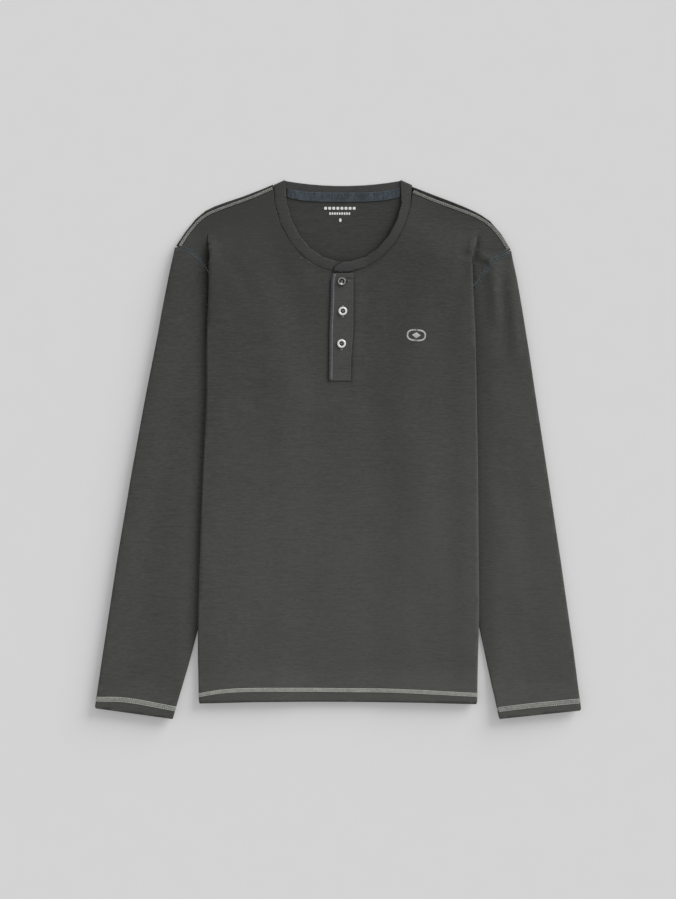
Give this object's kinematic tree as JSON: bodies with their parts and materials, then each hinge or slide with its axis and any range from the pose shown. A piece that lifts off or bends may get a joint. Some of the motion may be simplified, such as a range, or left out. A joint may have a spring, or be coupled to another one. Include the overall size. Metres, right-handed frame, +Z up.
{
  "type": "henley shirt",
  "caption": "Long-sleeved jersey henley shirt laid flat, face up, with its sides and sleeves folded back, a band neck and a short button placket.",
  "frame": {"origin": "middle of the shirt's overall outline, on the table that it lies on", "axes": "+Y towards the collar, +X towards the wearer's left sleeve, +Z up, out of the front"},
  "size_m": [0.6788, 0.7528, 0.0075],
  "materials": {
    "jersey_front": "slub cotton jersey, piece dyed dark grey, matt",
    "jersey_back": "inside face of slub cotton jersey, dark grey, matt",
    "jersey_sleeve": "slub cotton jersey, piece dyed dark grey, matt",
    "jersey_neckband": "doubled cotton jersey, dark grey, matt",
    "jersey_placket": "doubled cotton jersey, dark grey, matt",
    "neck_tape": "woven herringbone cotton tape, blue grey",
    "thread_light": "spun polyester sewing thread, light grey",
    "thread_teal": "spun polyester sewing thread, blue grey",
    "print_white": "heat transfer print, matt light grey",
    "button_shell": "polyester pearl button, turned and polished"
  },
  "bodies": {
    "root": {"front_panel": "jersey_front", "back_panel": "jersey_back", "sleeve_right": "jersey_sleeve", "sleeve_left": "jersey_sleeve", "neckband": "jersey_neckband", "neck_tape": "neck_tape", "placket": "jersey_placket", "button_stand": "jersey_placket", "button_top": "button_shell", "button_middle": "button_shell", "button_bottom": "button_shell"}
  },
  "joints": []
}
